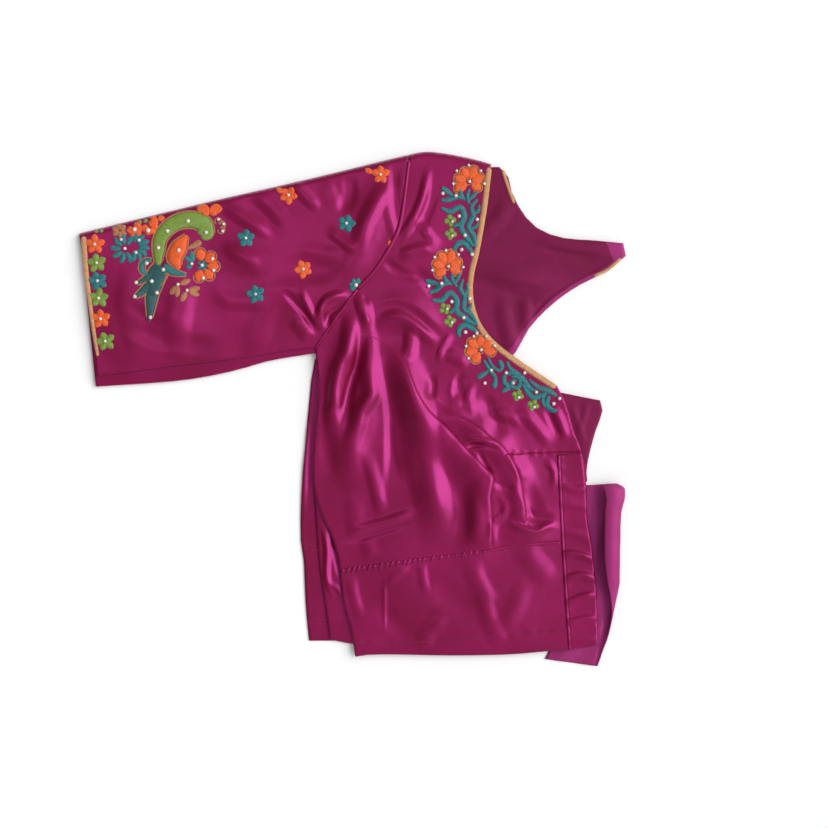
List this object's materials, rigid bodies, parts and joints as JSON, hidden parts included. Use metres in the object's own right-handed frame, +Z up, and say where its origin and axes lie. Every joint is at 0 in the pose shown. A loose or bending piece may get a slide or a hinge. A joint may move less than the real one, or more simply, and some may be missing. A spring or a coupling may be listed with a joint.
{
  "type": "choli blouse, folded flat",
  "caption": "Front-opening satin choli blouse with hand embroidery, folded in half along its centre back and laid flat, sleeve spread to one side",
  "frame": {"origin": "on the table, under the middle of the folded blouse", "axes": "+X towards the centre front edge, +Y towards the shoulder, +Z up"},
  "size_m": [0.426, 0.401, 0.0142],
  "materials": {
    "satin": "magenta satin with a soft sheen",
    "lining": "matte plain-weave lining",
    "gold_piping": "gold zari thread border",
    "thread_orange": "orange embroidery thread",
    "thread_teal": "teal embroidery thread",
    "thread_green": "green embroidery thread",
    "thread_gold": "gold outline thread",
    "thread_crimson": "sewing thread in the colour of the cloth",
    "bead": "small pearl beads"
  },
  "bodies": {
    "root": {"hidden_layers": "satin", "sleeve_right": "satin", "front_right": "satin", "waistband_right": "satin", "hook_placket": "satin", "neck_piping": "gold_piping", "cuff_piping": "gold_piping", "back_right_upper": "lining", "back_left_upper": "satin", "back_neck_piping": "gold_piping", "keyhole_piping": "gold_piping", "back_right_lower": "lining", "back_left_lower": "satin", "side_left": "satin", "side_right": "satin", "front_left": "lining"}
  },
  "joints": []
}
